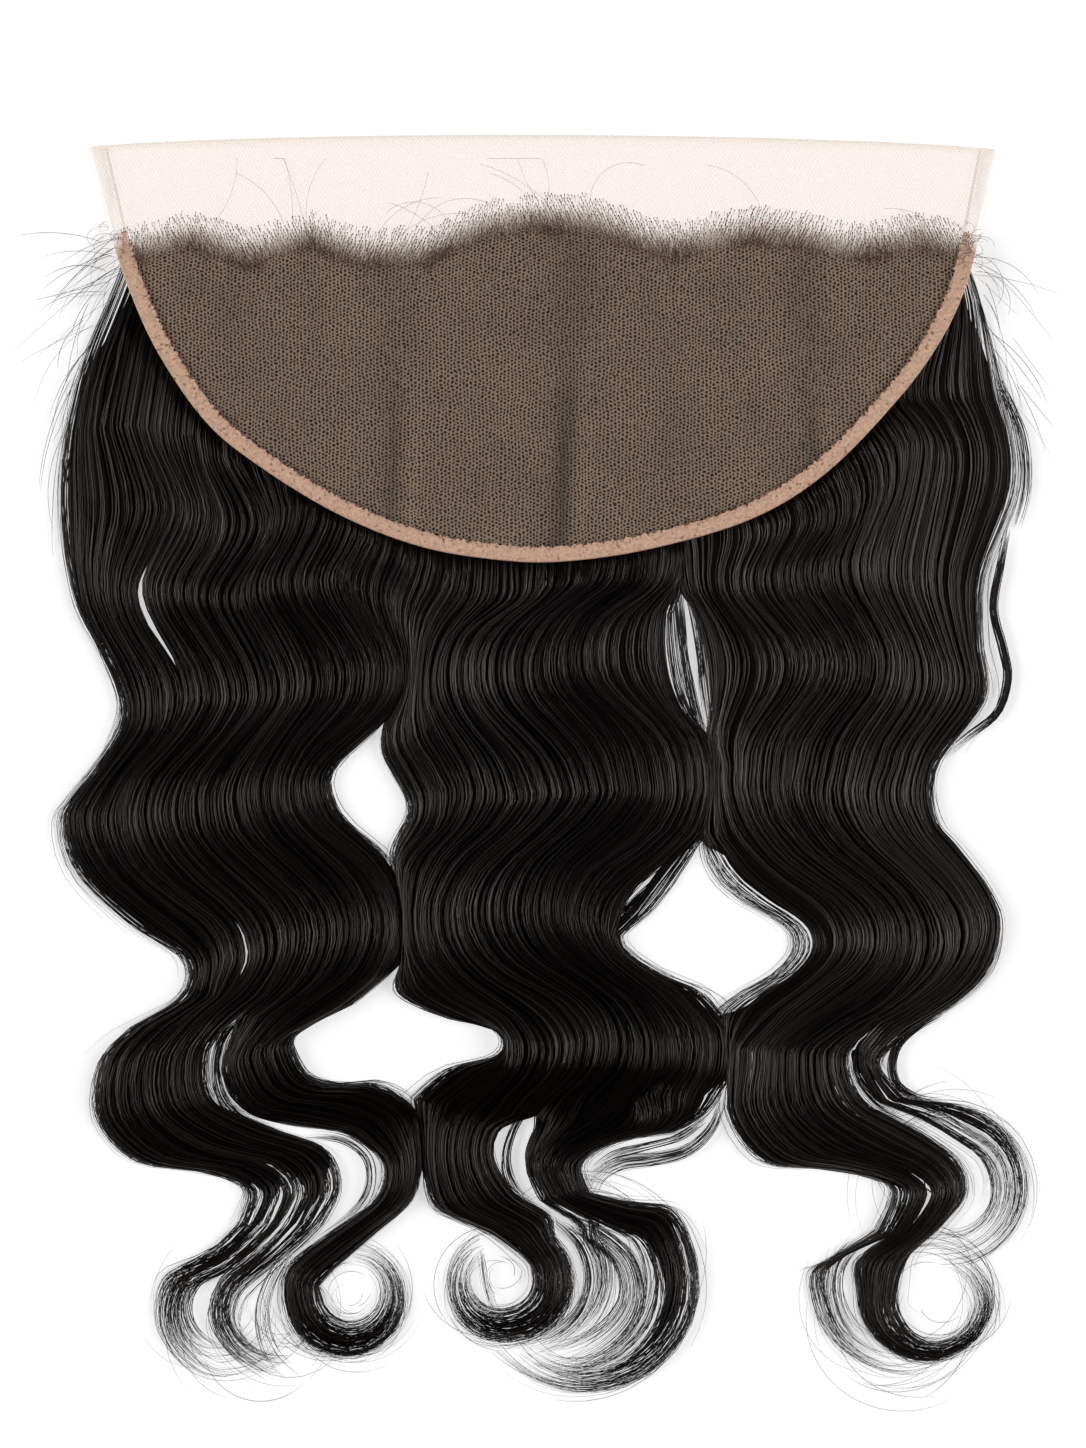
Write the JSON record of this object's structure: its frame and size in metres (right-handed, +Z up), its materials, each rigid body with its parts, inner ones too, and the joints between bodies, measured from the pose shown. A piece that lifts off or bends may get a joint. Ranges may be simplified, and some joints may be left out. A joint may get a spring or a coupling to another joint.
{
  "type": "lace frontal hairpiece",
  "caption": "Lace frontal hairpiece with a D-shaped lace base, folded edge tape and long body-wave hair in parted locks with ring-curled ends, lying flat scalp side up",
  "frame": {"origin": "middle of the whole piece's outline in plan, on the surface it lies on", "axes": "+Y from the hair's ends to the lace's straight front edge, +X to the right seen from above, +Z up from the surface, out of the lace's scalp side"},
  "size_m": [0.368, 0.4784, 0.011],
  "materials": {
    "lace": "fine sheer net, matt",
    "edge_tape": "soft woven tape, matt",
    "hem": "doubled sheer net, matt",
    "hair": "smooth hair strands with a satin sheen"
  },
  "bodies": {
    "root": {"lace_panel": "lace", "edge_band": "edge_tape", "side_hem_left": "hem", "side_hem_right": "hem", "hair_left": "hair", "hair_centre": "hair", "hair_right": "hair"}
  },
  "joints": []
}
